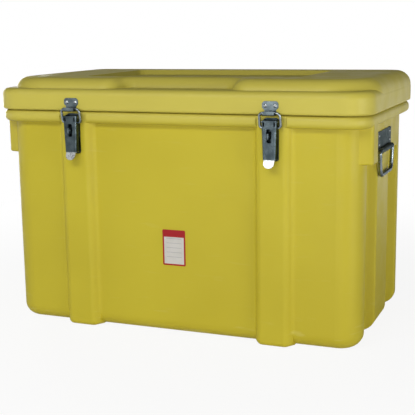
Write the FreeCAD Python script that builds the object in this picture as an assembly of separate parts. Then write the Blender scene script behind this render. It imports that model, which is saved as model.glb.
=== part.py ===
import FreeCAD, Part
import math
import os

# A moulded plastic transport box: a ribbed tub, a raised lid on two rear hinges,
# two steel draw latches at the front and a drop handle at each end.
# Units are millimetres. X runs along the box, the front faces -Y, the box stands on Z = 0.

# Lid and tub, driving sizes
lid_length = 800.0
lid_depth = 460.0
lid_corner_radius = 54.0
tub_height = 455.5
wall = 6.0

# Tub outline
wall_inset = 21.0
wall_corner_radius = 46.0
bottom_radius = 28.0
rim_inset = 3.0
rim_height = 25.0
rim_edge_radius = 11.0

# Upright ribs on the front and the back
rib_offset = 212.0
rib_face_width = 58.0
rib_flank = 9.0
rib_proud = 14.0
rib_edge_radius = 14.0
rib_root_radius = 10.0
rib_foot_radius = 10.0
rim_notch_width = 58.0
rim_notch_flare = 5.0

# End walls: upright channels either side of the handle, and the two front shoulders
channel_inner = 55.0
channel_outer = 152.0
channel_depth = 20.0
channel_flank = 7.0
channel_floor_radius = 7.0
channel_lip_radius = 5.0
channel_top_radius = 14.0
shoulder_height = 69.0
shoulder_reach = 18.0
shoulder_start_angle = 56.0
shoulder_setback = 28.0
shoulder_length = 40.0
shoulder_return = 12.0
shoulder_corner_radius = 8.0
shoulder_edge_radius = 4.0

# Lid
lid_gap = 0.8
skirt_height = 43.7
skirt_top_radius = 14.0
skirt_foot_radius = 5.0
plateau_inset = 16.0
plateau_end_inset = 0.5
plateau_rise = 21.0
plateau_front_radius = 105.0
plateau_edge_radius = 30.0
pocket_length = 474.0
pocket_front_margin = 84.0
pocket_back_margin = 80.0
pocket_depth = 10.0
pocket_slope = 7.0
pocket_corner_radius = 24.0
recess_width = 262.0
recess_back_width = 222.0
recess_depth = 50.0
recess_outer_radius = 40.0
recess_inner_radius = 20.0
recess_side_straight = 1.0
flange_width = 28.0
flange_thickness = 10.0

# Seal in the lid's flange
seal_inset = 12.0
seal_width = 8.0
seal_groove_depth = 6.0
seal_side_clearance = 0.3
seal_rim_clearance = 0.3

# Blank label on the front panel
label_width = 50.0
label_height = 74.0
label_middle = 181.5
label_thickness = 0.4
label_corner_radius = 3.0

# Rivets and the plates behind them
rivet_radius = 2.0
rivet_head_radius = 3.8
rivet_head_height = 1.5
rivet_hole_clearance = 0.05
backing_thickness = 2.0
backing_margin = 8.0
backing_edge_gap = 0.5
backing_corner_radius = 3.0

# Draw latches
latch_sheet = 1.5
strike_width = 32.0
strike_neck_width = 23.0
strike_neck_height = 10.0
strike_corner_radius = 6.0
strike_neck_radius = 2.0
strike_drop = 0.5
strike_rivet_spacing = 19.0
strike_rivet_rise = 7.5
strike_rivet_margin = 8.5
hook_lip_height = 8.0
hook_inner_radius = 1.0
wire_diameter = 5.0
wire_plate_clearance = 2.0
wire_lip_clearance = 3.6
wire_floor_clearance = 0.5
bow_width = 46.0
bow_corner_radius = 7.0
bow_eye_clearance = 0.05
bow_side_clearance = 0.4
bow_end_gap = 0.6
base_width = 29.0
base_height = 82.0
base_below_rim = 5.0
base_thickness = 2.0
base_corner_radius = 5.0
base_rivet_spacing_x = 14.0
base_rivet_spacing_z = 18.0
base_rivet_rise = 12.0
ear_height = 9.0
pivot_below_rim = 12.0
pivot_reach = 10.0
pivot_radius = 2.0
pivot_clearance = 0.05
pivot_head_radius = 3.2
pivot_head_height = 1.0
bow_eye_drop = 11.0
bow_eye_setback = 2.0
lever_top_width = 30.0
lever_tip_width = 25.0
lever_length = 89.0
lever_rise = 3.0
lever_web_reach = 17.0
lever_flange_clearance = 3.0
lever_side_clearance = 1.0
lever_corner_radius = 2.5
lever_tip_length = 15.0
lever_tab_width = 21.0
lever_tab_rounding = 0.9
lever_tip_reach = 22.0
lever_slot_width = 10.0
lever_slot_height = 26.0
lever_slot_rounding = 0.6
lever_slot_below_pivot = 13.0
lever_window_width = 3.0
lever_window_height = 8.0
staple_thickness = 3.0
staple_height = 14.0
staple_hole_radius = 2.75
staple_nose_radius = 4.0
staple_hole_margin = 1.7
staple_reach = 25.0

# Drop handles
handle_plate_width = 132.0
handle_plate_height = 34.0
handle_below_rim = 20.0
handle_sheet = 2.0
handle_corner_radius = 4.0
handle_rivet_spacing_y = 106.0
handle_rivet_spacing_z = 18.0
roll_outer_radius = 5.8
roll_wall = 1.7
roll_width = 104.0
roll_wall_gap = 0.2
bail_diameter = 8.0
bail_clearance = 0.05
bail_top_width = 134.0
bail_bottom_width = 116.0
bail_drop = 50.0
bail_shoulder_radius = 6.0
bail_corner_radius = 16.0

# Rear hinges
hinge_width = 44.0
hinge_sheet = 2.0
hinge_leaf_height = 62.0
hinge_lid_leaf_height = 23.0
hinge_axis_offset = 6.0
hinge_axis_below_lid = 1.2
hinge_knuckle_radius = 4.5
hinge_pin_radius = 2.5
hinge_pin_clearance = 0.05
hinge_middle_knuckle = 18.0
hinge_knuckle_gap = 0.3
hinge_shelf_clearance = 0.4
hinge_shelf_thickness = 3.5
hinge_pin_head_radius = 3.6
hinge_pin_head_height = 1.2
hinge_stop_angle = 100.0
hinge_stop_clearance = 0.3
hinge_tail_thickness = 2.0
hinge_rivet_spacing = 24.0
hinge_rivet_drop = 38.0
hinge_lid_rivet_rise = 7.0

# How far a cutting shape runs past the face that it opens
overcut = 1.0

# Sizes that follow from those above
V = FreeCAD.Vector
half_x = lid_length / 2
half_y = lid_depth / 2
wall_x = half_x - wall_inset
wall_y = half_y - wall_inset
rib_y = wall_y + rib_proud
hardware_reach = rib_y + staple_reach
rim_bottom = tub_height - rim_height
shoulder_level = rim_bottom - shoulder_height
lid_bottom = tub_height + lid_gap
ledge = lid_bottom + skirt_height
lid_top = ledge + plateau_rise
plateau_x = half_x - plateau_end_inset
plateau_front = plateau_inset - half_y
plateau_back = half_y - plateau_end_inset
plateau_low = min(lid_top - plateau_edge_radius, ledge - skirt_top_radius) - overcut
SIDES = (("left", -1), ("right", 1))


def rounded_outline(x_low, x_high, y_low, y_high, radius, z):
    """Closed wire: a rectangle with round corners, seen from above."""
    def arc(cx, cy, start):
        turn = [math.radians(start + step) for step in (0, 45, 90)]
        spots = [V(cx + radius * math.cos(a), cy + radius * math.sin(a), z) for a in turn]
        return Part.Arc(*spots).toShape()

    corners = [
        arc(x_high - radius, y_low + radius, 270),
        arc(x_high - radius, y_high - radius, 0),
        arc(x_low + radius, y_high - radius, 90),
        arc(x_low + radius, y_low + radius, 180),
    ]
    edges = []
    for corner, following in zip(corners, corners[1:] + corners[:1]):
        edges.append(corner)
        edges.append(Part.makeLine(corner.lastVertex().Point, following.firstVertex().Point))
    return Part.Wire(edges)


def centred_outline(reach_x, reach_y, radius, z):
    return rounded_outline(-reach_x, reach_x, -reach_y, reach_y, radius, z)


def block(reach_x, reach_y, radius, z_low, z_high):
    """Upright prism with round corners, centred on the box."""
    face = Part.Face(centred_outline(reach_x, reach_y, radius, z_low))
    return face.extrude(V(0, 0, z_high - z_low))


def box(x, y, z):
    """Plain box from its (low, high) reach along each axis."""
    return Part.makeBox(x[1] - x[0], y[1] - y[0], z[1] - z[0], V(x[0], y[0], z[0]))


def level_edges(shape, z):
    """Edges that lie flat at one height."""
    return [e for e in shape.Edges if abs(e.BoundBox.ZMin - z) < 0.01 and abs(e.BoundBox.ZMax - z) < 0.01]


def soft_polygon(points, radii):
    """Closed wire through corner points, each corner rounded by its own radius."""
    edges = []
    ends = []
    count = len(points)
    for i, corner in enumerate(points):
        before = (points[i - 1] - corner).normalize()
        after = (points[(i + 1) % count] - corner).normalize()
        if not radii[i]:
            ends.append((corner, corner))
            continue
        half = before.getAngle(after) / 2
        reach = radii[i] / math.tan(half)
        start = corner + before * reach
        finish = corner + after * reach
        inward = (before + after).normalize()
        middle = corner + inward * (radii[i] / math.sin(half) - radii[i])
        ends.append((start, finish))
        edges.append((i, Part.Arc(start, middle, finish).toShape()))
    arcs = dict(edges)
    loop = []
    for i in range(count):
        if i in arcs:
            loop.append(arcs[i])
        start = ends[i][1]
        finish = ends[(i + 1) % count][0]
        if start.distanceToPoint(finish) > 1e-6:
            loop.append(Part.makeLine(start, finish))
    return Part.Wire(loop)


def sharp_polygon(points):
    """Closed wire of straight edges."""
    return Part.makePolygon(points + points[:1])


def soft_path(points, radii):
    """Open wire of straight runs joined by arcs, one radius for each inner point."""
    loop = []
    last = points[0]
    for before, corner, after, radius in zip(points, points[1:], points[2:], radii):
        back = (before - corner).normalize()
        on = (after - corner).normalize()
        half = back.getAngle(on) / 2
        reach = radius / math.tan(half)
        start = corner + back * reach
        finish = corner + on * reach
        middle = corner + (back + on).normalize() * (radius / math.sin(half) - radius)
        loop.append(Part.makeLine(last, start))
        loop.append(Part.Arc(start, middle, finish).toShape())
        last = finish
    loop.append(Part.makeLine(last, points[-1]))
    return Part.Wire(loop)


def round_bar(points, radius, bend_radii):
    """Round wire bent along a path."""
    path = soft_path(points, bend_radii)
    along = points[1] - points[0]
    section = Part.Wire(Part.makeCircle(radius, points[0], along))
    return path.makePipeShell([section], True, False)


def plate_xz(x_low, x_high, z_low, z_high, radius, y_face, y_back):
    """Upright plate facing the front or back, with round corners."""
    corners = [V(x_low, y_face, z_low), V(x_high, y_face, z_low),
               V(x_high, y_face, z_high), V(x_low, y_face, z_high)]
    return Part.Face(soft_polygon(corners, [radius] * 4)).extrude(V(0, y_back - y_face, 0))


def plate_yz(y_low, y_high, z_low, z_high, radius, x_face, x_back):
    """Upright plate facing an end, with round corners."""
    corners = [V(x_face, y_low, z_low), V(x_face, y_high, z_low),
               V(x_face, y_high, z_high), V(x_face, y_low, z_high)]
    return Part.Face(soft_polygon(corners, [radius] * 4)).extrude(V(x_back - x_face, 0, 0))


def rivet(spot, outward, grip):
    """Rivet whose domed head sits on spot, with a shank running inwards to a flat head."""
    inward = outward * -1
    rise = rivet_head_height
    ball_radius = (rivet_head_radius ** 2 + rise ** 2) / (2 * rise)
    ball = Part.makeSphere(ball_radius, spot + outward * (rise - ball_radius))
    dome = ball.common(Part.makeCylinder(rivet_head_radius, rise, spot, outward))
    shank = Part.makeCylinder(rivet_radius, grip, spot, inward)
    tail = Part.makeCylinder(rivet_head_radius, rise, spot + inward * grip, inward)
    return dome.fuse([shank, tail]).removeSplitter()


def drill(shape, spots, outward, reach):
    """Shape with a rivet hole through it at each spot."""
    radius = rivet_radius + rivet_hole_clearance
    for spot in spots:
        start = spot + outward * reach
        shape = shape.cut(Part.makeCylinder(radius, 2 * reach, start, outward * -1))
    return shape


def grid(centre, first, second):
    """Four spots at the corners of a rectangle, from its centre and half spacings."""
    return [centre + first * i + second * j for i in (-1, 1) for j in (-1, 1)]


# Where the rivets go. Each group is worked out once and used by every piece it passes through.
FRONT = V(0, -1, 0)
BACK = V(0, 1, 0)
base_top = tub_height - base_below_rim
base_bottom = base_top - base_height
base_rivet_z = base_bottom + base_rivet_rise + base_rivet_spacing_z / 2
hinge_y = half_y + hinge_axis_offset
hinge_z = lid_bottom - hinge_axis_below_lid
hinge_shelf_top = hinge_z - hinge_knuckle_radius - hinge_shelf_clearance
hinge_rivet_z = hinge_shelf_top - hinge_rivet_drop
lid_floor = lid_bottom + flange_thickness
strike_rivet_z = lid_floor + strike_rivet_rise
hinge_lid_rivet_z = lid_floor + hinge_lid_rivet_rise
handle_plate_top = rim_bottom - handle_below_rim
handle_plate_middle = handle_plate_top - handle_plate_height / 2


def strike_spots(side, y):
    middle = side * rib_offset
    return [V(middle + i * strike_rivet_spacing / 2, y, strike_rivet_z) for i in (-1, 1)]


def base_spots(side, y):
    centre = V(side * rib_offset, y, base_rivet_z)
    return grid(centre, V(base_rivet_spacing_x / 2, 0, 0), V(0, 0, base_rivet_spacing_z / 2))


def hinge_spots(side, y, z):
    return [V(side * rib_offset + i * hinge_rivet_spacing / 2, y, z) for i in (-1, 1)]


def handle_spots(side, x):
    centre = V(side * x, 0, handle_plate_middle)
    return grid(centre, V(0, handle_rivet_spacing_y / 2, 0), V(0, 0, handle_rivet_spacing_z / 2))


# Tub


def rib_solid(side, grown_in, z_low, z_high, depth_in):
    """One front rib as an upright bar, drawn in by a wall thickness where it makes the hollow behind."""
    middle = side * rib_offset
    face = rib_face_width / 2 - grown_in
    foot = face + rib_flank
    y_face = -(rib_y - grown_in)
    y_root = -(wall_y - grown_in)
    y_back = y_root + depth_in
    points = [
        V(middle - foot, y_back, z_low),
        V(middle - foot, y_root, z_low),
        V(middle - face, y_face, z_low),
        V(middle + face, y_face, z_low),
        V(middle + foot, y_root, z_low),
        V(middle + foot, y_back, z_low),
    ]
    edge = rib_edge_radius - grown_in
    plan = Part.Face(soft_polygon(points, [0, 0, edge, edge, 0, 0]))
    return plan.extrude(V(0, 0, z_high - z_low))


def rib_root_fill(side):
    """Soft inside corners where a rib stands on its panel."""
    foot = rib_face_width / 2 + rib_flank
    slope = math.atan2(rib_proud, rib_flank)
    reach = rib_root_radius * math.tan(slope / 2)
    fills = []
    for hand in (-1, 1):
        root = V(side * rib_offset + hand * foot, -wall_y, bottom_radius)
        out = root + V(hand * reach, 0, 0)
        up = root + V(-hand * reach * math.cos(slope), -reach * math.sin(slope), 0)
        bisector = ((out - root).normalize() + (up - root).normalize()).normalize()
        half = (math.pi - slope) / 2
        middle = root + bisector * (rib_root_radius / math.sin(half) - rib_root_radius)
        inside = root + V(-hand * reach, wall / 2, 0)
        outline = Part.Wire([
            Part.Arc(out, middle, up).toShape(),
            Part.makeLine(up, inside),
            Part.makeLine(inside, out),
        ])
        fills.append(Part.Face(outline).extrude(V(0, 0, rim_bottom - bottom_radius)))
    return fills


def channel_outline(hand, x, shrink, grown):
    """Upright outline of a channel at one depth: open below, with round upper corners."""
    low = channel_inner - grown + shrink
    high = channel_outer + grown - shrink
    top = shoulder_level + grown - shrink
    radius = channel_top_radius + grown - shrink
    corners = [V(x, hand * low, -wall), V(x, hand * low, top),
               V(x, hand * high, top), V(x, hand * high, -wall)]
    return soft_polygon(corners, [0, radius, radius, 0])


def channel_tool(hand, side, grown):
    """Upright groove of an end wall. It is grown by the wall thickness where it shows on the inside."""
    depth = channel_depth + grown
    over = channel_flank / channel_depth
    mouth = channel_outline(hand, side * (wall_x + wall), -wall * over, grown)
    floor = channel_outline(hand, side * (wall_x - depth), depth * over, grown)
    tool = Part.makeLoft([mouth, floor], True, True)
    floor_edges = []
    for edge in tool.Edges:
        at_floor = abs(abs(edge.CenterOfMass.x) - (wall_x - depth)) < 0.01
        if at_floor and edge.BoundBox.ZMax > 0:
            floor_edges.append(edge)
    return tool.makeFillet(channel_floor_radius, floor_edges)


def shoulder(side):
    """Lug under the rim at the front end of each end wall. It grows out of the tub's round corner."""
    turn = math.radians(shoulder_start_angle)
    x_in = wall_x - wall_corner_radius
    x_start = x_in + wall_corner_radius * math.sin(turn)
    x_out = wall_x + shoulder_reach
    y_start = -(wall_y - wall_corner_radius + wall_corner_radius * math.cos(turn))
    y_front = -wall_y + shoulder_setback
    y_back = y_front + shoulder_length
    points = [
        V(side * x_in, y_start, shoulder_level),
        V(side * x_start, y_start, shoulder_level),
        V(side * x_out, y_front, shoulder_level),
        V(side * x_out, y_back, shoulder_level),
        V(side * wall_x, y_back + shoulder_return, shoulder_level),
        V(side * x_in, y_back + shoulder_return, shoulder_level),
    ]
    plan = Part.Face(soft_polygon(points, [0, 0, shoulder_corner_radius, shoulder_edge_radius, 0, 0]))
    corner = plan.extrude(V(0, 0, rim_bottom + rim_edge_radius - shoulder_level))
    lower = [e for e in level_edges(corner, shoulder_level) if abs(e.CenterOfMass.x) > wall_x]
    return corner.makeFillet(shoulder_edge_radius, lower)


def rim_notch(side):
    """Gap in the rim bead for a latch, cut back to the face of the rib."""
    middle = side * rib_offset
    foot = rim_notch_width / 2
    mouth = foot + rim_notch_flare
    y_out = -(half_y + overcut)
    z_low = rim_bottom - overcut
    z_high = tub_height + overcut
    points = [
        V(middle - mouth, y_out, z_low),
        V(middle - foot, -rib_y, z_low),
        V(middle + foot, -rib_y, z_low),
        V(middle + mouth, y_out, z_low),
    ]
    return Part.Face(sharp_polygon(points)).extrude(V(0, 0, z_high - z_low))


def mirrored_back(shapes):
    """The shapes and their likenesses on the back of the box."""
    return shapes + [s.mirror(V(0, 0, 0), V(0, 1, 0)) for s in shapes]


def channel_lips(tub):
    """Edges where the channels break out of the flat of the end walls."""
    lips = []
    for edge in tub.Edges:
        reach = edge.BoundBox
        flat = abs(abs(reach.XMin) - wall_x) < 0.01 and abs(abs(reach.XMax) - wall_x) < 0.01
        beside = max(abs(reach.YMin), abs(reach.YMax)) < wall_y - wall_corner_radius
        if flat and beside and bottom_radius + overcut < reach.ZMax < shoulder_level + overcut:
            lips.append(edge)
    return lips


def tub_outside():
    core = block(wall_x, wall_y, wall_corner_radius, 0, rim_bottom + rim_edge_radius)
    core = core.makeFillet(bottom_radius, level_edges(core, 0))
    core = core.cut([channel_tool(hand, side, 0) for _, side in SIDES for hand in (-1, 1)])
    core = core.makeFillet(channel_lip_radius, channel_lips(core))
    ribs = []
    for _, side in SIDES:
        bar = rib_solid(side, 0, 0, rim_bottom + rim_edge_radius, bottom_radius)
        front_foot = [e for e in level_edges(bar, 0) if e.BoundBox.YMax < -wall_y + 0.01]
        ribs.append(bar.makeFillet(rib_foot_radius, front_foot))
        ribs += rib_root_fill(side)
    shoulders = [shoulder(side) for _, side in SIDES]
    rim = block(half_x - rim_inset, half_y - rim_inset, lid_corner_radius - rim_inset,
                rim_bottom, tub_height)
    rim = rim.makeFillet(rim_edge_radius, level_edges(rim, rim_bottom) + level_edges(rim, tub_height))
    tub = core.fuse(mirrored_back(ribs) + shoulders + [rim]).removeSplitter()
    return tub.cut(mirrored_back([rim_notch(side) for _, side in SIDES]))


def tub_hollow():
    inner_x = wall_x - wall
    inner_y = wall_y - wall
    hollow = block(inner_x, inner_y, wall_corner_radius - wall, wall, tub_height + overcut)
    hollow = hollow.makeFillet(bottom_radius - wall, level_edges(hollow, wall))
    lumps = [channel_tool(hand, side, wall) for _, side in SIDES for hand in (-1, 1)]
    hollow = hollow.cut(lumps)
    grooves = [rib_solid(side, wall, bottom_radius, rim_bottom - wall, wall) for _, side in SIDES]
    return hollow.fuse(mirrored_back(grooves))


def box_body():
    tub = tub_outside().cut(tub_hollow())
    for _, side in SIDES:
        tub = drill(tub, base_spots(side, -rib_y), FRONT, 2 * wall)
        tub = drill(tub, hinge_spots(side, rib_y, hinge_rivet_z), BACK, 2 * wall)
        tub = drill(tub, handle_spots(side, wall_x), V(side, 0, 0), 2 * wall)
    return tub


# Lid


def plateau_block(drawn_in):
    """Raised middle of the lid, round-edged, with a recess in its front. Drawn in, it is the hollow below."""
    slant = (recess_width - recess_back_width) / 2
    turn = math.atan2(recess_depth, slant)
    aside = drawn_in * math.tan(turn / 2)
    x_end = plateau_x - drawn_in
    y_front = plateau_front + drawn_in
    y_back = plateau_back - drawn_in
    y_recess = y_front + recess_depth
    near = recess_width / 2 + aside
    deep = recess_back_width / 2 + aside
    plan = [(-x_end, y_front), (-near, y_front), (-deep, y_recess), (deep, y_recess),
            (near, y_front), (x_end, y_front), (x_end, y_back), (-x_end, y_back)]
    front = plateau_front_radius - drawn_in
    back = lid_corner_radius - plateau_end_inset - drawn_in
    # The two roundings at each side of the recess share its slanting wall.
    wall_length = math.hypot(recess_depth, slant) - recess_side_straight
    wanted = (recess_outer_radius + recess_inner_radius) * math.tan(turn / 2)
    share = min(1.0, wall_length / wanted)
    outer = recess_outer_radius * share - drawn_in
    inner = recess_inner_radius * share + drawn_in
    radii = [front, outer, inner, inner, outer, front, back, back]
    outline = soft_polygon([V(x, y, plateau_low) for x, y in plan], radii)
    top = lid_top - drawn_in
    solid = Part.Face(outline).extrude(V(0, 0, top - plateau_low))
    return solid.makeFillet(plateau_edge_radius - drawn_in, level_edges(solid, top))


def pocket_tool(grown):
    """Shallow tray sunk in the plateau, wider at its mouth."""
    reach = pocket_length / 2 + grown
    low = plateau_front + pocket_front_margin - grown
    high = plateau_back - pocket_back_margin + grown
    over = pocket_slope / pocket_depth
    z_floor = lid_top - pocket_depth - grown
    z_mouth = lid_top + overcut
    spread = (z_mouth - z_floor) * over
    radius = pocket_corner_radius + grown
    mouth = rounded_outline(-reach, reach, low, high, radius, z_mouth)
    floor = rounded_outline(-reach + spread, reach - spread, low + spread, high - spread,
                            radius - spread, z_floor)
    return Part.makeLoft([floor, mouth], True, True)


def lid_outside():
    skirt = block(half_x, half_y, lid_corner_radius, lid_bottom, ledge)
    skirt = skirt.makeFillet(skirt_top_radius, level_edges(skirt, ledge))
    skirt = skirt.makeFillet(skirt_foot_radius, level_edges(skirt, lid_bottom))
    return skirt.fuse(plateau_block(0)).cut(pocket_tool(0))


def lid_hollow():
    room = block(half_x - wall, half_y - wall, lid_corner_radius - wall, lid_floor, ledge - wall)
    room = room.makeFillet(skirt_top_radius - wall, level_edges(room, ledge - wall))
    mouth = block(half_x - flange_width, half_y - flange_width, lid_corner_radius - flange_width,
                  lid_bottom - overcut, lid_floor + overcut)
    raised = plateau_block(wall).cut(pocket_tool(wall))
    return room.cut(pocket_tool(wall)).fuse([mouth, raised])


def seal_ring(outer_inset, inner_inset, z_low, z_high):
    """Ring that follows the lid's outline between two insets."""
    outer = block(half_x - outer_inset, half_y - outer_inset, lid_corner_radius - outer_inset,
                  z_low, z_high)
    inner = block(half_x - inner_inset, half_y - inner_inset, lid_corner_radius - inner_inset,
                  z_low - overcut, z_high + overcut)
    return outer.cut(inner)


def lid():
    shell = lid_outside().cut(lid_hollow())
    groove_top = lid_bottom + seal_groove_depth
    shell = shell.cut(seal_ring(seal_inset, seal_inset + seal_width, lid_bottom - overcut, groove_top))
    for _, side in SIDES:
        shell = drill(shell, strike_spots(side, -half_y), FRONT, 2 * wall)
        shell = drill(shell, hinge_spots(side, half_y, hinge_lid_rivet_z), BACK, 2 * wall)
    return shell


def lid_seal():
    side_gap = seal_side_clearance
    return seal_ring(seal_inset + side_gap, seal_inset + seal_width - side_gap,
                     tub_height + seal_rim_clearance, lid_bottom + seal_groove_depth)


def blank_label():
    reach = label_width / 2
    low = label_middle - label_height / 2
    return plate_xz(-reach, reach, low, low + label_height, label_corner_radius,
                    -wall_y, -wall_y - label_thickness)


# Draw latches. Reach is counted outwards from the face of the rib.


def out(reach):
    """Y of a point that stands this far out from the rib's face."""
    return -(rib_y + reach)


skirt_reach = half_y - rib_y
strike_face = skirt_reach + latch_sheet
wire_radius = wire_diameter / 2
bar_reach = strike_face + wire_plate_clearance + wire_radius
hook_inner = bar_reach + wire_radius + wire_lip_clearance
strike_bottom = lid_bottom - strike_drop
strike_top = strike_rivet_z + strike_rivet_margin
bar_z = strike_bottom + latch_sheet + wire_floor_clearance + wire_radius
pivot_z = tub_height - pivot_below_rim
bow_eye_reach = pivot_reach - bow_eye_setback
bow_eye_z = pivot_z - bow_eye_drop
ear_outer = lever_top_width / 2 - latch_sheet - lever_side_clearance
lever_top = pivot_z + lever_rise
lever_bend_z = lever_top - lever_length + lever_tip_length


def strike(side):
    """Catch plate on the lid. Its foot curls outwards and up into a hook for the bow."""
    middle = side * rib_offset
    neck = strike_neck_width / 2
    head = strike_width / 2
    z_neck = strike_bottom + strike_neck_height
    outline = [
        V(middle - neck, out(skirt_reach), strike_bottom),
        V(middle + neck, out(skirt_reach), strike_bottom),
        V(middle + neck, out(skirt_reach), z_neck),
        V(middle + head, out(skirt_reach), z_neck + (head - neck)),
        V(middle + head, out(skirt_reach), strike_top),
        V(middle - head, out(skirt_reach), strike_top),
        V(middle - head, out(skirt_reach), z_neck + (head - neck)),
        V(middle - neck, out(skirt_reach), z_neck),
    ]
    soft = strike_corner_radius
    bent = strike_neck_radius
    radii = [0, 0, bent, bent, soft, soft, bent, bent]
    plate = Part.Face(soft_polygon(outline, radii)).extrude(V(0, -latch_sheet, 0))
    outer_reach = hook_inner + latch_sheet
    bend = (hook_inner - strike_face) / 2
    lip_top = strike_bottom + hook_lip_height
    profile = [
        V(middle - neck, out(skirt_reach), strike_bottom),
        V(middle - neck, out(outer_reach), strike_bottom),
        V(middle - neck, out(outer_reach), lip_top),
        V(middle - neck, out(hook_inner), lip_top),
        V(middle - neck, out(hook_inner), strike_bottom + latch_sheet),
        V(middle - neck, out(strike_face), strike_bottom + latch_sheet),
        V(middle - neck, out(strike_face), lip_top),
        V(middle - neck, out(skirt_reach), lip_top),
    ]
    tight = hook_inner_radius
    hook_radii = [0, bend / 2, 0, 0, tight, tight, 0, 0]
    hook = Part.Face(soft_polygon(profile, hook_radii)).extrude(V(2 * neck, 0, 0))
    solid = plate.fuse(hook).removeSplitter()
    return drill(solid, strike_spots(side, out(strike_face)), FRONT, wall)


def latch_base(side):
    """Plate on the rib with two ears that carry the lever's pin."""
    middle = side * rib_offset
    half = base_width / 2
    plate = plate_xz(middle - half, middle + half, base_bottom, base_top, base_corner_radius,
                     out(0), out(base_thickness))
    ears = []
    for hand in (-1, 1):
        x_out = middle + hand * ear_outer
        x_in = x_out - hand * latch_sheet
        nose = ear_height / 2
        corners = [
            V(x_out, out(base_thickness / 2), pivot_z - nose),
            V(x_out, out(pivot_reach + pivot_head_radius), pivot_z - nose),
            V(x_out, out(pivot_reach + pivot_head_radius), pivot_z + nose),
            V(x_out, out(base_thickness / 2), pivot_z + nose),
        ]
        round_nose = pivot_head_radius
        ear = Part.Face(soft_polygon(corners, [0, round_nose, round_nose, 0]))
        ears.append(ear.extrude(V(x_in - x_out, 0, 0)))
    solid = plate.fuse(ears).removeSplitter()
    start = V(middle - half, out(pivot_reach), pivot_z)
    bore = Part.makeCylinder(pivot_radius + pivot_clearance, base_width, start, V(1, 0, 0))
    return drill(solid.cut(bore), base_spots(side, out(base_thickness)), FRONT, wall)


def latch_pin(side):
    """Pivot pin through the lever and the ears, with a small head each end."""
    middle = side * rib_offset
    reach = lever_top_width / 2 + pivot_clearance
    start = V(middle - reach, out(pivot_reach), pivot_z)
    shank = Part.makeCylinder(pivot_radius, 2 * reach, start, V(1, 0, 0))
    heads = [
        Part.makeCylinder(pivot_head_radius, pivot_head_height, start, V(-1, 0, 0)),
        Part.makeCylinder(pivot_head_radius, pivot_head_height, start + V(2 * reach, 0, 0), V(1, 0, 0)),
    ]
    return shank.fuse(heads).removeSplitter()


def lever_section(half_width, z, inner):
    """Channel outline of the lever at one height, open towards the box. Inner draws it in by the sheet."""
    soft = lever_corner_radius - inner
    half = half_width - inner
    face = lever_web_reach - inner
    back = base_thickness + lever_flange_clearance - inner
    points = [V(-half, out(back), z), V(-half, out(face), z), V(half, out(face), z), V(half, out(back), z)]
    return soft_polygon(points, [0, soft, soft, 0])


def lever_loft(inner):
    """Tapering bar from the lever's head to the bend at its tip."""
    head = lever_section(lever_top_width / 2, lever_top, inner)
    foot = lever_section(lever_tip_width / 2, lever_bend_z, inner)
    return Part.makeLoft([head, foot], True, True)


def lever_tip():
    """Finger tab below the bend, leaning outwards, with a round end."""
    half = lever_tab_width / 2
    y_bend = out(lever_web_reach)
    y_end = out(lever_tip_reach)
    z_end = lever_bend_z - lever_tip_length
    corners = [V(-half, y_bend, lever_bend_z), V(half, y_bend, lever_bend_z),
               V(half, y_end, z_end), V(-half, y_end, z_end)]
    end_radius = lever_tab_rounding * half
    return Part.Face(soft_polygon(corners, [0, 0, end_radius, end_radius])).extrude(V(0, latch_sheet, 0))


def latch_lever(side):
    """Pressed lever: a tapering channel with a padlock slot, two windows and a tip bent outwards."""
    lever = lever_loft(0).cut(lever_loft(latch_sheet)).fuse(lever_tip()).removeSplitter()
    web = (out(lever_web_reach + overcut), out(lever_web_reach - 2 * latch_sheet))
    slot_half = lever_slot_width / 2
    slot_top = pivot_z - lever_slot_below_pivot
    slot_radius = lever_slot_rounding * slot_half
    cuts = [plate_xz(-slot_half, slot_half, slot_top - lever_slot_height, slot_top, slot_radius, *web)]
    window_edge = lever_top_width / 2 - 2 * latch_sheet
    for hand in (-1, 1):
        near = hand * (window_edge - lever_window_width)
        far = hand * window_edge
        cuts.append(box((min(near, far), max(near, far)), web, (pivot_z - lever_window_height, pivot_z)))
    for radius, reach, z in ((pivot_radius + pivot_clearance, pivot_reach, pivot_z),
                             (wire_radius + bow_eye_clearance, bow_eye_reach, bow_eye_z)):
        start = V(-lever_top_width, out(reach), z)
        cuts.append(Part.makeCylinder(radius, 2 * lever_top_width, start, V(1, 0, 0)))
    return lever.cut(cuts).translated(V(side * rib_offset, 0, 0))


def latch_bow(side):
    """Wire bow that hangs in the lever's eyes and reaches into the strike's hook."""
    arm = bow_width / 2 - wire_radius
    end = ear_outer + bow_end_gap
    eye = (out(bow_eye_reach), bow_eye_z)
    bar = (out(bar_reach), bar_z)
    points = [V(-end, *eye), V(-arm, *eye), V(-arm, *bar), V(arm, *bar), V(arm, *eye), V(end, *eye)]
    eye_bend = arm - lever_top_width / 2 - bow_side_clearance
    bends = [eye_bend, bow_corner_radius, bow_corner_radius, eye_bend]
    return round_bar(points, wire_radius, bends).translated(V(side * rib_offset, 0, 0))


def padlock_staple(side):
    """Eye for a padlock that stands on the base plate and passes through the lever's slot."""
    x = side * rib_offset - staple_thickness / 2
    z_mid = pivot_z - lever_slot_below_pivot - lever_slot_height / 2
    nose = hardware_reach - rib_y
    half = staple_height / 2
    soft = staple_nose_radius
    corners = [V(x, out(base_thickness), z_mid - half), V(x, out(nose), z_mid - half),
               V(x, out(nose), z_mid + half), V(x, out(base_thickness), z_mid + half)]
    plate = Part.Face(soft_polygon(corners, [0, soft, soft, 0])).extrude(V(staple_thickness, 0, 0))
    eye = V(x, out(nose - staple_hole_margin - staple_hole_radius), z_mid)
    return plate.cut(Part.makeCylinder(staple_hole_radius, staple_thickness, eye, V(1, 0, 0)))


# Drop handles

bail_x = wall_x + roll_outer_radius + roll_wall_gap
bail_z = handle_plate_top - handle_plate_height - roll_outer_radius + roll_wall


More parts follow.
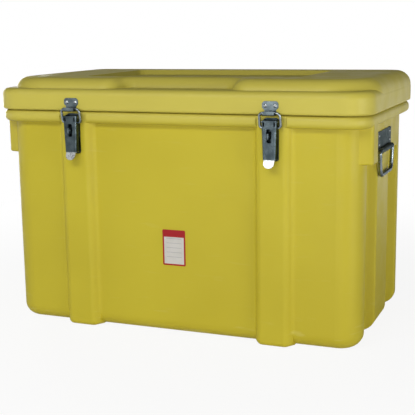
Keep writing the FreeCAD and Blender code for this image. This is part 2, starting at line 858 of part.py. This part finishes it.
def facing(solid, side):
    """The right-hand piece as it is, or its mirror image for the left end."""
    return solid if side > 0 else solid.mirror(V(0, 0, 0), V(1, 0, 0))


def handle_plate(side):
    """Plate whose lower edge is rolled into the bail's bearing."""
    half = handle_plate_width / 2
    low = handle_plate_top - handle_plate_height
    plate = plate_yz(-half, half, low, handle_plate_top, handle_corner_radius, wall_x, wall_x + handle_sheet)
    reach = roll_width / 2
    roll = Part.makeCylinder(roll_outer_radius, roll_width, V(bail_x, -reach, bail_z), BACK)
    neck = box((wall_x, wall_x + handle_sheet), (-reach, reach), (bail_z, low + handle_corner_radius))
    bore = Part.makeCylinder(bail_diameter / 2 + bail_clearance, roll_width, V(bail_x, -reach, bail_z), BACK)
    solid = plate.fuse([roll, neck]).removeSplitter().cut(bore)
    return facing(drill(solid, handle_spots(1, wall_x + handle_sheet), V(1, 0, 0), wall), side)


def handle_bail(side):
    """Bent bar that hangs in the rolled edge."""
    top = (bail_top_width - bail_diameter) / 2
    low = (bail_bottom_width - bail_diameter) / 2
    z_low = bail_z - bail_drop
    start = V(bail_x, 0, bail_z)
    points = [start, V(bail_x, top, bail_z), V(bail_x, low, z_low),
              V(bail_x, -low, z_low), V(bail_x, -top, bail_z), start]
    bends = [bail_shoulder_radius, bail_corner_radius, bail_corner_radius, bail_shoulder_radius]
    return facing(round_bar(points, bail_diameter / 2, bends), side)


# Rear hinges. The lid's leaf has a tail that meets the tub leaf's shelf when the lid is wide open.

hinge_half = hinge_width / 2
hinge_middle = hinge_middle_knuckle / 2


def hinge_round(x_low, x_high, radius):
    """Round bar on the hinge line, over part of the hinge's width."""
    return Part.makeCylinder(radius, x_high - x_low, V(x_low, hinge_y, hinge_z), V(1, 0, 0))


def hinge_tub_leaf(side):
    """Leaf on the tub, with the two outer knuckles on arms and a shelf between them."""
    shelf_low = hinge_shelf_top - hinge_shelf_thickness
    leaf = plate_xz(-hinge_half, hinge_half, hinge_shelf_top - hinge_leaf_height, hinge_shelf_top,
                    hinge_sheet, rib_y, rib_y + hinge_sheet)
    lean = math.radians(hinge_stop_angle - 90)
    shelf_drop = hinge_z - shelf_low
    tail_half = hinge_tail_thickness / 2 / math.cos(lean)
    stop_y = hinge_y - shelf_drop * math.tan(lean) - tail_half - hinge_stop_clearance
    pieces = [box((-hinge_half, hinge_half), (rib_y, stop_y), (shelf_low, hinge_shelf_top))]
    for hand in (-1, 1):
        near = hand * (hinge_middle + hinge_knuckle_gap)
        far = hand * hinge_half
        span = (min(near, far), max(near, far))
        pieces.append(hinge_round(*span, hinge_knuckle_radius))
        pieces.append(box(span, (rib_y, hinge_y), (shelf_low, hinge_z)))
    bore = hinge_round(-hinge_half, hinge_half, hinge_pin_radius + hinge_pin_clearance)
    solid = leaf.fuse(pieces).removeSplitter().cut(bore).translated(V(side * rib_offset, 0, 0))
    return drill(solid, hinge_spots(side, rib_y + hinge_sheet, hinge_rivet_z), BACK, wall)


def hinge_lid_leaf(side):
    """Leaf on the lid's skirt, with the middle knuckle and the stop tail."""
    low = lid_bottom + skirt_foot_radius
    high = low + hinge_lid_leaf_height
    leaf = plate_xz(-hinge_half, hinge_half, low, high, hinge_sheet, half_y, half_y + hinge_sheet)
    thick = hinge_tail_thickness / 2
    across = (-hinge_middle, hinge_middle)
    arm = box(across, (half_y, hinge_y), (hinge_z, low + 2 * hinge_sheet))
    tail = box(across, (hinge_y, hardware_reach), (hinge_z - thick, hinge_z + thick))
    knuckle = hinge_round(*across, hinge_knuckle_radius)
    bore = hinge_round(*across, hinge_pin_radius + hinge_pin_clearance)
    solid = leaf.fuse([arm, tail, knuckle]).removeSplitter().cut(bore).translated(V(side * rib_offset, 0, 0))
    return drill(solid, hinge_spots(side, half_y + hinge_sheet, hinge_lid_rivet_z), BACK, wall)


def hinge_pin(side):
    """Pin through the knuckles, headed at both ends."""
    reach = hinge_half + hinge_pin_clearance
    heads = [hinge_round(-reach - hinge_pin_head_height, -reach, hinge_pin_head_radius),
             hinge_round(reach, reach + hinge_pin_head_height, hinge_pin_head_radius)]
    pin = hinge_round(-reach, reach, hinge_pin_radius).fuse(heads).removeSplitter()
    return pin.translated(V(side * rib_offset, 0, 0))


# Backing plates inside the walls, and the rivets that clamp each fitting to its wall


def backing_xz(side, spots, outward, y_wall, half_width, half_height):
    """Plate on the inner face of a front or back wall, round the given rivet spots."""
    middle = side * rib_offset
    z_mid = sum(spot.z for spot in spots) / len(spots)
    plate = plate_xz(middle - half_width, middle + half_width, z_mid - half_height, z_mid + half_height,
                     backing_corner_radius, y_wall, y_wall - outward.y * backing_thickness)
    return drill(plate, spots, outward, 2 * wall)


def strike_backing(side):
    half_height = strike_rivet_z - lid_floor - backing_edge_gap
    spots = strike_spots(side, -half_y)
    return backing_xz(side, spots, FRONT, -(half_y - wall), strike_width / 2, half_height)


def base_backing(side):
    half_height = base_rivet_spacing_z / 2 + backing_margin
    half_width = base_rivet_spacing_x / 2 + backing_margin
    spots = base_spots(side, -rib_y)
    return backing_xz(side, spots, FRONT, -(rib_y - wall), half_width, half_height)


def hinge_tub_backing(side):
    half_width = hinge_rivet_spacing / 2 + rivet_head_radius
    spots = hinge_spots(side, rib_y, hinge_rivet_z)
    return backing_xz(side, spots, BACK, rib_y - wall, half_width, backing_margin)


def hinge_lid_backing(side):
    half_width = hinge_rivet_spacing / 2 + backing_margin
    half_height = hinge_lid_rivet_z - lid_floor - backing_edge_gap
    spots = hinge_spots(side, half_y, hinge_lid_rivet_z)
    return backing_xz(side, spots, BACK, half_y - wall, half_width, half_height)


def handle_backing(side):
    half_y_reach = handle_rivet_spacing_y / 2 + backing_margin
    half_z = handle_rivet_spacing_z / 2 + backing_margin
    inner = wall_x - wall
    plate = plate_yz(-half_y_reach, half_y_reach, handle_plate_middle - half_z, handle_plate_middle + half_z,
                     backing_corner_radius, inner, inner - backing_thickness)
    return facing(drill(plate, handle_spots(1, wall_x), V(1, 0, 0), 2 * wall), side)


def rivets(spots, outward, sheet):
    """Rivets through a fitting, the wall behind it and its backing plate."""
    grip = sheet + wall + backing_thickness
    return [rivet(spot, outward, grip) for spot in spots]


def on_both_sides(make):
    """One group of the solids that make gives for the left and the right side."""
    group = []
    for _, side in SIDES:
        made = make(side)
        group += made if isinstance(made, list) else [made]
    return Part.makeCompound(group)


def strike_rivets(side):
    return rivets(strike_spots(side, out(strike_face)), FRONT, latch_sheet)


def base_rivets(side):
    return rivets(base_spots(side, out(base_thickness)), FRONT, base_thickness)


def handle_rivets(side):
    return rivets(handle_spots(side, wall_x + handle_sheet), V(side, 0, 0), handle_sheet)


def hinge_tub_rivets(side):
    return rivets(hinge_spots(side, rib_y + hinge_sheet, hinge_rivet_z), BACK, hinge_sheet)


def hinge_lid_rivets(side):
    return rivets(hinge_spots(side, half_y + hinge_sheet, hinge_lid_rivet_z), BACK, hinge_sheet)


# The pieces, each in a file of its own. Like small pieces of one body share a file.
SINGLE = {
    "box_body": box_body,
    "lid": lid,
    "lid_seal": lid_seal,
    "blank_label": blank_label,
}
PAIRED = {
    "latch_strike": strike,
    "latch_base": latch_base,
    "latch_pin": latch_pin,
    "latch_lever": latch_lever,
    "latch_bow": latch_bow,
    "padlock_staple": padlock_staple,
    "handle_plate": handle_plate,
    "handle_bail": handle_bail,
    "hinge_tub_leaf": hinge_tub_leaf,
    "hinge_lid_leaf": hinge_lid_leaf,
    "hinge_pin": hinge_pin,
}
GROUPED = {
    "latch_strike_backing_plates": strike_backing,
    "latch_base_backing_plates": base_backing,
    "hinge_tub_backing_plates": hinge_tub_backing,
    "hinge_lid_backing_plates": hinge_lid_backing,
    "handle_backing_plates": handle_backing,
    "latch_strike_rivets": strike_rivets,
    "latch_base_rivets": base_rivets,
    "handle_rivets": handle_rivets,
    "hinge_tub_rivets": hinge_tub_rivets,
    "hinge_lid_rivets": hinge_lid_rivets,
}

os.makedirs("parts", exist_ok=True)


def save(name, shape):
    shape.exportStep("parts/" + name + ".step")


for name, make in SINGLE.items():
    save(name, make())
for name, make in PAIRED.items():
    for hand, side in SIDES:
        save(name + "_" + hand, make(side))
for name, make in GROUPED.items():
    save(name, on_both_sides(make))
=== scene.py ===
import math

import bpy
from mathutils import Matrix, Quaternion, Vector


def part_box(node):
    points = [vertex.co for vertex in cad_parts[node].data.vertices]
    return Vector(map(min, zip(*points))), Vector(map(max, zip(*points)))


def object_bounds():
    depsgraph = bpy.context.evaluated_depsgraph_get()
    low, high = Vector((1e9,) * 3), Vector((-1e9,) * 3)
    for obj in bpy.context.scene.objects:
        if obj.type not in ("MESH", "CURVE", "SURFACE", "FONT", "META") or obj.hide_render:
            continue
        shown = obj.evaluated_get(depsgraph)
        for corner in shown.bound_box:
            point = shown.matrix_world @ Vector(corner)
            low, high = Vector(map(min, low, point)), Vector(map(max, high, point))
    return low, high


# A yellow moulded transport box with steel latches, drop handles and hinges.
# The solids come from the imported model, and each section below dresses one group of pieces.
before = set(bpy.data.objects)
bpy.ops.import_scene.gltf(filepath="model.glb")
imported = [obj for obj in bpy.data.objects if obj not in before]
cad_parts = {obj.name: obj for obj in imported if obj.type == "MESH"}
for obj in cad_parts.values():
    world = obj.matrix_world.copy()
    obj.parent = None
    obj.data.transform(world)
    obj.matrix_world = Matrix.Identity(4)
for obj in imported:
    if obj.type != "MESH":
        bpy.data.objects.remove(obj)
cad_low, cad_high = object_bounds()


# Tub
# One hollow moulding of yellow polyethylene, cast in a turning mould. Its skin has a fine orange
# peel, the colour clouds a little, the flat panels wave slightly and handling leaves pale rubs.

def new_material(name):
    """An empty material with its surface shader."""
    material = bpy.data.materials.new(name)
    material.use_nodes = True
    tree = material.node_tree
    tree.nodes.clear()
    surface = tree.nodes.new("ShaderNodeBsdfPrincipled")
    output = tree.nodes.new("ShaderNodeOutputMaterial")
    tree.links.new(surface.outputs["BSDF"], output.inputs["Surface"])
    return material, tree, surface


def new_group(name, inputs, output):
    """A node group with number inputs and one output."""
    tree = bpy.data.node_groups.new(name, "ShaderNodeTree")
    for label, value in inputs:
        socket = tree.interface.new_socket(name=label, in_out="INPUT", socket_type="NodeSocketFloat")
        socket.default_value = value
    tree.interface.new_socket(name=output, in_out="OUTPUT", socket_type="NodeSocketFloat")
    return tree, tree.nodes.new("NodeGroupInput"), tree.nodes.new("NodeGroupOutput")


def place_group(tree, group, **values):
    """One use of a node group, with its own values."""
    node = tree.nodes.new("ShaderNodeGroup")
    node.node_tree = group
    for label, value in values.items():
        node.inputs[label].default_value = value
    return node.outputs[0]


def sums(tree, operation, first, second=0.0):
    """A sum, product or other operation on sockets or numbers."""
    node = tree.nodes.new("ShaderNodeMath")
    node.operation = operation
    for socket, value in zip(node.inputs, (first, second)):
        if isinstance(value, bpy.types.NodeSocket):
            tree.links.new(value, socket)
        else:
            socket.default_value = value
    return node.outputs["Value"]


def ramp(tree, value, start, end, low=0.0, high=1.0):
    """A value eased from low to high as it goes from start to end."""
    node = tree.nodes.new("ShaderNodeMapRange")
    node.interpolation_type = "SMOOTHSTEP"
    tree.links.new(value, node.inputs["Value"])
    node.inputs["From Min"].default_value = start
    node.inputs["From Max"].default_value = end
    node.inputs["To Min"].default_value = low
    node.inputs["To Max"].default_value = high
    return node.outputs["Result"]


def tint(tree, amount, base, over):
    """Base colour with another laid over it by an amount. Base is a socket or a colour."""
    node = tree.nodes.new("ShaderNodeMix")
    node.data_type = "RGBA"
    tree.links.new(amount, node.inputs["Factor"])
    if isinstance(base, bpy.types.NodeSocket):
        tree.links.new(base, node.inputs["A"])
    else:
        node.inputs["A"].default_value = (*base, 1.0)
    node.inputs["B"].default_value = (*over, 1.0)
    return node.outputs["Result"]


def place_axes(tree):
    """The three object coordinates as separate sockets."""
    coords = tree.nodes.new("ShaderNodeTexCoord")
    split = tree.nodes.new("ShaderNodeSeparateXYZ")
    tree.links.new(coords.outputs["Object"], split.inputs["Vector"])
    return split.outputs["X"], split.outputs["Y"], split.outputs["Z"]


def cloud_group():
    """Soft patches of noise, from 0 to 1, of a given size."""
    inputs = [("Scale", 5.0), ("Detail", 2.0), ("From", 0.35), ("To", 0.65)]
    tree, given, out = new_group("clouds", inputs, "Amount")
    coords = tree.nodes.new("ShaderNodeTexCoord")
    noise = tree.nodes.new("ShaderNodeTexNoise")
    spread = tree.nodes.new("ShaderNodeMapRange")
    tree.links.new(coords.outputs["Object"], noise.inputs["Vector"])
    tree.links.new(given.outputs["Scale"], noise.inputs["Scale"])
    tree.links.new(given.outputs["Detail"], noise.inputs["Detail"])
    tree.links.new(noise.outputs["Fac"], spread.inputs["Value"])
    tree.links.new(given.outputs["From"], spread.inputs["From Min"])
    tree.links.new(given.outputs["To"], spread.inputs["From Max"])
    tree.links.new(spread.outputs["Result"], out.inputs["Amount"])
    return tree


def streak_group():
    """Thin rubs or lines, from 0 to 1, drawn out along the axis with the smallest number."""
    inputs = [("Along X", 6.0), ("Along Y", 60.0), ("Along Z", 60.0), ("From", 0.62), ("To", 0.72)]
    tree, given, out = new_group("streaks", inputs, "Amount")
    coords = tree.nodes.new("ShaderNodeTexCoord")
    pull = tree.nodes.new("ShaderNodeVectorMath")
    pull.operation = "MULTIPLY"
    stretch = tree.nodes.new("ShaderNodeCombineXYZ")
    for axis in "XYZ":
        tree.links.new(given.outputs["Along " + axis], stretch.inputs[axis])
    tree.links.new(coords.outputs["Object"], pull.inputs[0])
    tree.links.new(stretch.outputs["Vector"], pull.inputs[1])
    noise = tree.nodes.new("ShaderNodeTexNoise")
    noise.inputs["Scale"].default_value = 1.0
    noise.inputs["Detail"].default_value = 3.0
    spread = tree.nodes.new("ShaderNodeMapRange")
    tree.links.new(pull.outputs["Vector"], noise.inputs["Vector"])
    tree.links.new(noise.outputs["Fac"], spread.inputs["Value"])
    tree.links.new(given.outputs["From"], spread.inputs["From Min"])
    tree.links.new(given.outputs["To"], spread.inputs["From Max"])
    tree.links.new(spread.outputs["Result"], out.inputs["Amount"])
    return tree


def raise_skin(tree, surface, layers):
    """Bumps for the surface, from (height socket, strength, depth in metres) layers, coarse to fine."""
    under = None
    for height, strength, depth in layers:
        bump = tree.nodes.new("ShaderNodeBump")
        bump.inputs["Strength"].default_value = strength
        bump.inputs["Distance"].default_value = depth
        tree.links.new(height, bump.inputs["Height"])
        if under:
            tree.links.new(under, bump.inputs["Normal"])
        under = bump.outputs["Normal"]
    tree.links.new(under, surface.inputs["Normal"])


clouds = cloud_group()
streaks = streak_group()


def moulded_plastic(name, yellow, deep, pale, scuff_height, pale_above):
    """Semi-gloss moulded skin. Rubs are strongest below scuff_height, and the colour turns paler above
    pale_above."""
    deep_share = 0.55
    rub_share_high = 0.10
    rub_share_low = 0.5
    pale_share = 0.42
    pale_blend = 0.012
    smooth = 0.40
    rough = 0.52
    sheen = 0.30
    wave_strength = 0.25
    wave_depth = 0.004
    peel_strength = 0.10
    peel_depth = 0.0006
    material, tree, surface = new_material(name)
    _, _, height = place_axes(tree)
    tone = place_group(tree, clouds, Scale=4.5, Detail=2.0, From=0.38, To=0.66)
    colour = tint(tree, sums(tree, "MULTIPLY", tone, deep_share), yellow, deep)
    rubs = place_group(tree, streaks, **{"Along X": 14.0, "Along Y": 14.0, "Along Z": 90.0})
    low_down = ramp(tree, height, scuff_height, 0.0, rub_share_high, rub_share_low)
    colour = tint(tree, sums(tree, "MULTIPLY", rubs, low_down), colour, pale)
    # Above the given height the colour is blended toward the pale colour.
    high_up = ramp(tree, height, pale_above - pale_blend, pale_above + pale_blend, 0.0, pale_share)
    colour = tint(tree, high_up, colour, pale)
    tree.links.new(colour, surface.inputs["Base Color"])
    gloss = place_group(tree, clouds, Scale=22.0, Detail=3.0, From=0.3, To=0.7)
    tree.links.new(ramp(tree, gloss, 0.0, 1.0, smooth, rough), surface.inputs["Roughness"])
    surface.inputs["Specular IOR Level"].default_value = sheen
    wave = place_group(tree, clouds, Scale=9.0, Detail=1.0, From=0.2, To=0.8)
    peel = place_group(tree, clouds, Scale=330.0, Detail=2.0, From=0.3, To=0.7)
    raise_skin(tree, surface, [(wave, wave_strength, wave_depth), (peel, peel_strength, peel_depth)])
    return material


def dress(material, *nodes):
    """Puts a material on carried-over solids."""
    for node in nodes:
        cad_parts[node].material_slots[0].material = material


body_yellow = (0.56, 0.47, 0.030)
body_deep = (0.50, 0.41, 0.024)
body_pale = (0.62, 0.56, 0.15)
yellow_skin = moulded_plastic("moulded_yellow", body_yellow, body_deep, body_pale,
                              scuff_height=0.09, pale_above=0.436)
dress(yellow_skin, "box_body")


# Lid
# A second moulding of the same yellow plastic with a closed flange, a raised middle and a sunk tray.
# It lies above most knocks, so its rubs are faint, and all of it is coloured paler.

lid_skin = moulded_plastic("moulded_yellow_lid", body_yellow, body_deep, body_pale,
                           scuff_height=0.02, pale_above=0.440)
dress(lid_skin, "lid")


# Seal
# A strip of dark closed-cell foam rubber, pressed into the groove of the lid's flange.
# It is matt and finely pored.

def foam_rubber():
    pore_dark = (0.018, 0.018, 0.019)
    pore_pale = (0.04, 0.04, 0.042)
    pore_strength = 0.4
    pore_depth = 0.0004
    dullness = 0.85
    material, tree, surface = new_material("seal_foam_rubber")
    pores = place_group(tree, clouds, Scale=900.0, Detail=2.0, From=0.4, To=0.6)
    tree.links.new(tint(tree, pores, pore_dark, pore_pale), surface.inputs["Base Color"])
    surface.inputs["Roughness"].default_value = dullness
    raise_skin(tree, surface, [(pores, pore_strength, pore_depth)])
    return material


dress(foam_rubber(), "lid_seal")


# Draw latches
# Strikes, base plates, levers and padlock eyes are pressed from steel sheet and zinc plated, which
# leaves a bluish grey, faintly clouded coat with fine rolling lines. The bows and pins are bright wire.

SIDES = ("left", "right")
upright_lines = (1200.0, 1200.0, 40.0)


def on_both(*stems):
    return [stem + "_" + side for stem in stems for side in SIDES]


def zinc_steel(name, bright, dull, smooth, rough, lines, rim=(0.5, 0.53, 0.54), highlight_below=None):
    """Zinc plated steel. Lines gives how fine the rolling lines are along X, Y and Z, and rim its glancing
    tint. Below the height highlight_below a painted highlight turns it pale."""
    stain_shade = 0.55
    stain_share = 0.5
    highlight_pale = (0.55, 0.57, 0.58)
    highlight_blend = 0.0015
    bloom_strength = 0.08
    bloom_depth = 0.0005
    line_share = 0.5
    line_strength = 0.10
    line_depth = 0.0002
    material, tree, surface = new_material(name)
    bloom = place_group(tree, clouds, Scale=70.0, Detail=4.0, From=0.35, To=0.7)
    spots = place_group(tree, clouds, Scale=420.0, Detail=2.0, From=0.62, To=0.74)
    colour = tint(tree, bloom, bright, dull)
    stain = tuple(stain_shade * part for part in dull)
    colour = tint(tree, sums(tree, "MULTIPLY", spots, stain_share), colour, stain)
    # Painted highlight: below the given height the colour is blended to a pale grey, as if lit from above.
    if highlight_below:
        _, _, height = place_axes(tree)
        highlight = ramp(tree, height, highlight_below + highlight_blend, highlight_below - highlight_blend)
        colour = tint(tree, highlight, colour, highlight_pale)
    tree.links.new(colour, surface.inputs["Base Color"])
    surface.inputs["Metallic"].default_value = 1.0
    surface.inputs["Specular Tint"].default_value = (*rim, 1.0)
    rolled = place_group(tree, streaks, **{"Along X": lines[0], "Along Y": lines[1], "Along Z": lines[2],
                                           "From": 0.3, "To": 0.7})
    blend = sums(tree, "ADD", sums(tree, "MULTIPLY", rolled, line_share),
                 sums(tree, "MULTIPLY", bloom, 1.0 - line_share))
    tree.links.new(ramp(tree, blend, 0.0, 1.0, smooth, rough), surface.inputs["Roughness"])
    raise_skin(tree, surface, [(bloom, bloom_strength, bloom_depth), (rolled, line_strength, line_depth)])
    return material


plated_sheet = zinc_steel("zinc_plated_sheet", bright=(0.17, 0.21, 0.225), dull=(0.085, 0.11, 0.122),
                          smooth=0.22, rough=0.40, lines=upright_lines)
dress(plated_sheet, *on_both("latch_strike", "padlock_staple"))

# Painted shade: levers and base plates take a darker copy of the plated sheet's colour, though they are
# the same zinc plated steel.
shaded_zinc_bright = (0.085, 0.110, 0.122)
shaded_zinc_dull = (0.036, 0.050, 0.057)
base_sheet = zinc_steel("zinc_plated_base", shaded_zinc_bright, shaded_zinc_dull,
                        smooth=0.22, rough=0.42, lines=upright_lines)
dress(base_sheet, *on_both("latch_base"))

# Each lever's outward-bent tip, its lowest tip_height, carries a painted highlight.
lever_low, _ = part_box("latch_lever_right")
tip_height = 0.015
lever_sheet = zinc_steel("zinc_plated_lever", shaded_zinc_bright, shaded_zinc_dull,
                         smooth=0.22, rough=0.42, lines=upright_lines, highlight_below=lever_low.z + tip_height)
dress(lever_sheet, *on_both("latch_lever"))

bright_wire = zinc_steel("zinc_plated_wire", bright=(0.30, 0.34, 0.36), dull=(0.18, 0.21, 0.22),
                         smooth=0.16, rough=0.34, lines=(300.0, 300.0, 300.0))
dress(bright_wire, *on_both("latch_bow", "latch_pin"))


# Drop handles
# A sheet plate with a rolled lower edge on each end wall, and a bent steel bar that hangs in the roll.
# The plate's rolling lines run along the wall, and the bar is of the same bright steel as the bows.

handle_sheet = zinc_steel("zinc_plated_handle", bright=(0.17, 0.20, 0.205), dull=(0.08, 0.10, 0.105),
                          smooth=0.34, rough=0.54, lines=(1200.0, 40.0, 1200.0), rim=(0.36, 0.38, 0.38))
dress(handle_sheet, *on_both("handle_plate"))
dress(bright_wire, *on_both("handle_bail"))


# Hinges
# Two leaves of plated sheet on each rear rib, turning on a headed pin.
# They are of the same stock as the handle plates.

dress(handle_sheet, *on_both("hinge_tub_leaf", "hinge_lid_leaf"))
dress(bright_wire, *on_both("hinge_pin"))


# Rivets and backing plates
# Domed rivets clamp each fitting to its wall, with a flat plate of plain sheet on the inside.
# The heads are brighter than the sheet round them.

rivet_steel = zinc_steel("bright_rivet", bright=(0.40, 0.43, 0.44), dull=(0.24, 0.26, 0.27),
                         smooth=0.18, rough=0.34, lines=(500.0, 500.0, 500.0))
fixings = ("latch_strike", "latch_base", "handle", "hinge_tub", "hinge_lid")
dress(rivet_steel, *[name + "_rivets" for name in fixings])
dress(plated_sheet, *[name + "_backing_plates" for name in fixings])


# Label
# A blank self-adhesive label of white film with a red edge, a plain red head and faint ruled lines
# to write on. It lies flat on the front panel.

def blank_film():
    film_white = (0.62, 0.60, 0.57)
    film_aged = (0.52, 0.50, 0.45)
    aged_share = 0.35
    rule_grey = (0.30, 0.30, 0.32)
    edge_red = (0.36, 0.010, 0.014)
    red_edge = 0.0034
    head_height = 0.0150
    rule_spacing = 0.0095
    rule_half = 0.00025
    rule_side_margin = 0.0085
    rule_end_margin = 0.012
    print_edge = 0.00015
    smooth = 0.36
    rough = 0.46
    sheen = 0.3
    film_strength = 0.05
    film_depth = 0.0003
    low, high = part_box("blank_label")
    middle = (low + high) / 2
    half_width = (high.x - low.x) / 2
    half_height = (high.z - low.z) / 2
    material, tree, surface = new_material("blank_label_film")
    x, _, z = place_axes(tree)
    from_middle = sums(tree, "SUBTRACT", z, middle.z)
    beside = sums(tree, "ABSOLUTE", sums(tree, "SUBTRACT", x, middle.x))
    above = sums(tree, "ABSOLUTE", from_middle)
    to_side = sums(tree, "SUBTRACT", half_width, beside)
    to_end = sums(tree, "SUBTRACT", half_height, above)
    depth = sums(tree, "MINIMUM", to_side, to_end)
    border = ramp(tree, depth, red_edge + print_edge, red_edge - print_edge)
    head_line = high.z - head_height
    head = ramp(tree, z, head_line - print_edge, head_line + print_edge)
    red = sums(tree, "MAXIMUM", border, head)
    step = sums(tree, "PINGPONG", from_middle, rule_spacing / 2)
    rule = ramp(tree, step, rule_half + print_edge, rule_half)
    margin = ramp(tree, to_side, rule_side_margin, rule_side_margin + print_edge)
    foot = ramp(tree, to_end, rule_end_margin, rule_end_margin + print_edge)
    rules = sums(tree, "MULTIPLY", sums(tree, "MULTIPLY", rule, margin), foot)
    age = place_group(tree, clouds, Scale=60.0, Detail=3.0, From=0.4, To=0.7)
    colour = tint(tree, sums(tree, "MULTIPLY", age, aged_share), film_white, film_aged)
    colour = tint(tree, rules, colour, rule_grey)
    colour = tint(tree, red, colour, edge_red)
    tree.links.new(colour, surface.inputs["Base Color"])
    tree.links.new(ramp(tree, age, 0.0, 1.0, smooth, rough), surface.inputs["Roughness"])
    surface.inputs["Specular IOR Level"].default_value = sheen
    raise_skin(tree, surface, [(age, film_strength, film_depth)])
    return material


dress(blank_film(), "blank_label")


# Floor and light
# A pale floor that fades to white away from the box, a white surround under a dim ceiling, and soft
# boxes: the main one low before the front, a strip above it, one at each end and one behind.

floor_reach = 9.0
bpy.ops.mesh.primitive_plane_add(size=2 * floor_reach)
floor = bpy.context.object
floor.name = "floor"


def pale_floor():
    """Near the box the floor keeps its shadow, and further off it is seen and mirrored as white."""
    floor_grey = (0.86, 0.86, 0.86)
    dullness = 0.7
    fade_start = 0.45
    fade_end = 1.5
    near_white = 0.90
    mirror_start = 0.6
    mirror_end = 1.8
    material, tree, surface = new_material("pale_floor")
    surface.inputs["Base Color"].default_value = (*floor_grey, 1.0)
    surface.inputs["Roughness"].default_value = dullness
    x, y, _ = place_axes(tree)
    square = sums(tree, "ADD", sums(tree, "MULTIPLY", x, x), sums(tree, "MULTIPLY", y, y))
    reach = sums(tree, "SQRT", square)
    path = tree.nodes.new("ShaderNodeLightPath")
    far = ramp(tree, reach, fade_start, fade_end, near_white, 1.0)
    seen = sums(tree, "MULTIPLY", far, path.outputs["Is Camera Ray"])
    away = ramp(tree, reach, mirror_start, mirror_end)
    in_mirror = sums(tree, "MAXIMUM", path.outputs["Is Glossy Ray"], path.outputs["Is Transmission Ray"])
    mirrored = sums(tree, "MULTIPLY", away, in_mirror)
    white = tree.nodes.new("ShaderNodeEmission")
    mix = tree.nodes.new("ShaderNodeMixShader")
    tree.links.new(sums(tree, "MAXIMUM", seen, mirrored), mix.inputs["Fac"])
    tree.links.new(surface.outputs["BSDF"], mix.inputs[1])
    tree.links.new(white.outputs["Emission"], mix.inputs[2])
    output = next(node for node in tree.nodes if node.type == "OUTPUT_MATERIAL")
    tree.links.new(mix.outputs["Shader"], output.inputs["Surface"])
    return material


floor.data.materials.append(pale_floor())


def white_surround(ambient, ceiling):
    """White where it is seen or mirrored, with a dimmer ceiling in mirrors, and an even soft light
    elsewhere."""
    white_up_to = 0.04
    dim_from = 0.26
    world = bpy.data.worlds.new("white_surround")
    world.use_nodes = True
    tree = world.node_tree
    tree.nodes.clear()
    soft = tree.nodes.new("ShaderNodeBackground")
    soft.inputs["Color"].default_value = (1.0, 1.0, 1.0, 1.0)
    soft.inputs["Strength"].default_value = ambient
    white = tree.nodes.new("ShaderNodeBackground")
    white.inputs["Color"].default_value = (1.0, 1.0, 1.0, 1.0)
    _, _, up = place_axes(tree)
    path = tree.nodes.new("ShaderNodeLightPath")
    mirrored = ramp(tree, up, white_up_to, dim_from, 1.0, ceiling)
    strength = sums(tree, "MAXIMUM", mirrored, path.outputs["Is Camera Ray"])
    tree.links.new(strength, white.inputs["Strength"])
    seen = sums(tree, "MAXIMUM", path.outputs["Is Camera Ray"], path.outputs["Is Glossy Ray"])
    seen = sums(tree, "MAXIMUM", seen, path.outputs["Is Transmission Ray"])
    mix = tree.nodes.new("ShaderNodeMixShader")
    tree.links.new(seen, mix.inputs["Fac"])
    tree.links.new(soft.outputs["Background"], mix.inputs[1])
    tree.links.new(white.outputs["Background"], mix.inputs[2])
    output = tree.nodes.new("ShaderNodeOutputWorld")
    tree.links.new(mix.outputs["Shader"], output.inputs["Surface"])
    bpy.context.scene.world = world


white_surround(ambient=0.08, ceiling=0.08)
box_middle = Vector((0.0, 0.0, cad_high.z / 2))


def soft_box(name, place, size, power):
    """A large soft lamp, turned to the middle of the box."""
    lamp = bpy.data.lights.new(name, "AREA")
    lamp.shape = "RECTANGLE"
    lamp.size, lamp.size_y = size
    lamp.energy = power
    holder = bpy.data.objects.new(name, lamp)
    holder.location = place
    holder.rotation_mode = "QUATERNION"
    holder.rotation_quaternion = (Vector(place) - box_middle).to_track_quat("Z", "Y")
    bpy.context.scene.collection.objects.link(holder)


soft_box("main_soft_box", place=(0.6, -2.6, 0.20), size=(2.2, 0.7), power=20.0)
soft_box("high_soft_box", place=(-0.3, -2.2, 1.90), size=(2.0, 0.6), power=30.0)
soft_box("right_soft_box", place=(2.6, -1.0, 0.45), size=(1.2, 0.8), power=22.0)
soft_box("left_soft_box", place=(-2.9, -1.0, 0.70), size=(1.6, 1.2), power=7.0)
soft_box("rear_soft_box", place=(-2.8, 2.4, 0.40), size=(1.6, 0.8), power=58.0)


# Camera
# It stands to the right of the front, a little above the lid, as the photograph was taken.
# Its place, angles and focal length come from a fit to the edges of the box.

picture_side = 415
focal_pixels = 937.408
sensor_width = 36.0
azimuth = math.radians(21.997)
elevation = math.radians(10.853)
roll = math.radians(-0.850)
camera_data = bpy.data.cameras.new("camera")
camera_data.sensor_width = sensor_width
camera_data.lens = sensor_width * focal_pixels / picture_side
camera = bpy.data.objects.new("camera", camera_data)
level = math.cos(elevation)
backward = Vector((math.sin(azimuth) * level, -math.cos(azimuth) * level, math.sin(elevation)))
camera.location = (0.756227, -1.897171, 0.618)
camera.rotation_mode = "QUATERNION"
camera.rotation_quaternion = backward.to_track_quat("Z", "Y") @ Quaternion((0.0, 0.0, 1.0), roll)
bpy.context.scene.collection.objects.link(camera)
bpy.context.scene.camera = camera
bpy.context.scene.view_settings.view_transform = "Standard"
